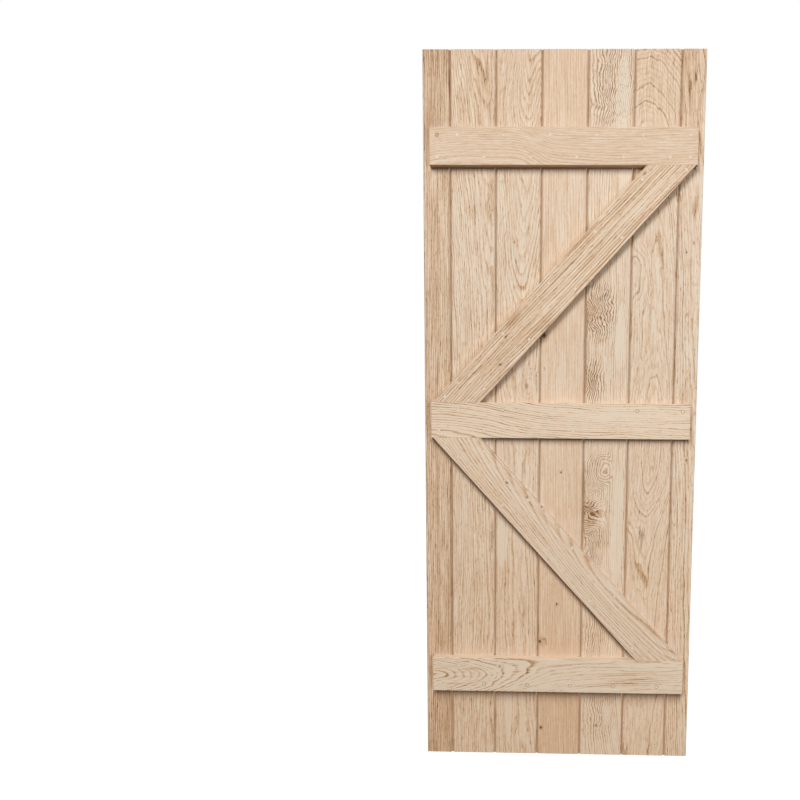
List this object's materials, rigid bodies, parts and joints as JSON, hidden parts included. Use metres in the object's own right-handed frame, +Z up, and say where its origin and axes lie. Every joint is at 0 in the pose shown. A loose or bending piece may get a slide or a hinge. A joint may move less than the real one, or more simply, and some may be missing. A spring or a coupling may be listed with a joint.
{
  "type": "ledged and braced door",
  "caption": "Ledged and braced oak barn door leaf: V-jointed tongue-and-groove boards, square-ended ledges and diagonal braces with plugged screw fixings.",
  "frame": {"origin": "middle of the bottom edge, half way through the full thickness of boards and ledges", "axes": "+Z up the leaf, +X to the right as seen from the ledged back, +Y out of the plain front face; the ledges face -Y"},
  "size_m": [0.762, 0.04, 1.981],
  "materials": {
    "oak_boards": "unfinished planed oak",
    "oak_ledges": "unfinished planed oak",
    "oak_braces": "unfinished planed oak",
    "oak_plugs": "unfinished sanded oak",
    "steel_screws": "zinc plated"
  },
  "bodies": {
    "root": {"board_1": "oak_boards", "board_2": "oak_boards", "board_3": "oak_boards", "board_4": "oak_boards", "board_5": "oak_boards", "board_6": "oak_boards", "board_7": "oak_boards", "top_ledge": "oak_ledges", "middle_ledge": "oak_ledges", "bottom_ledge": "oak_ledges", "upper_brace": "oak_braces", "lower_brace": "oak_braces", "top_ledge_plugs": "oak_plugs", "middle_ledge_plugs": "oak_plugs", "bottom_ledge_plugs": "oak_plugs", "upper_brace_plugs": "oak_plugs", "lower_brace_plugs": "oak_plugs", "top_ledge_screws": "steel_screws", "middle_ledge_screws": "steel_screws", "bottom_ledge_screws": "steel_screws", "upper_brace_screws": "steel_screws", "lower_brace_screws": "steel_screws"}
  },
  "joints": []
}
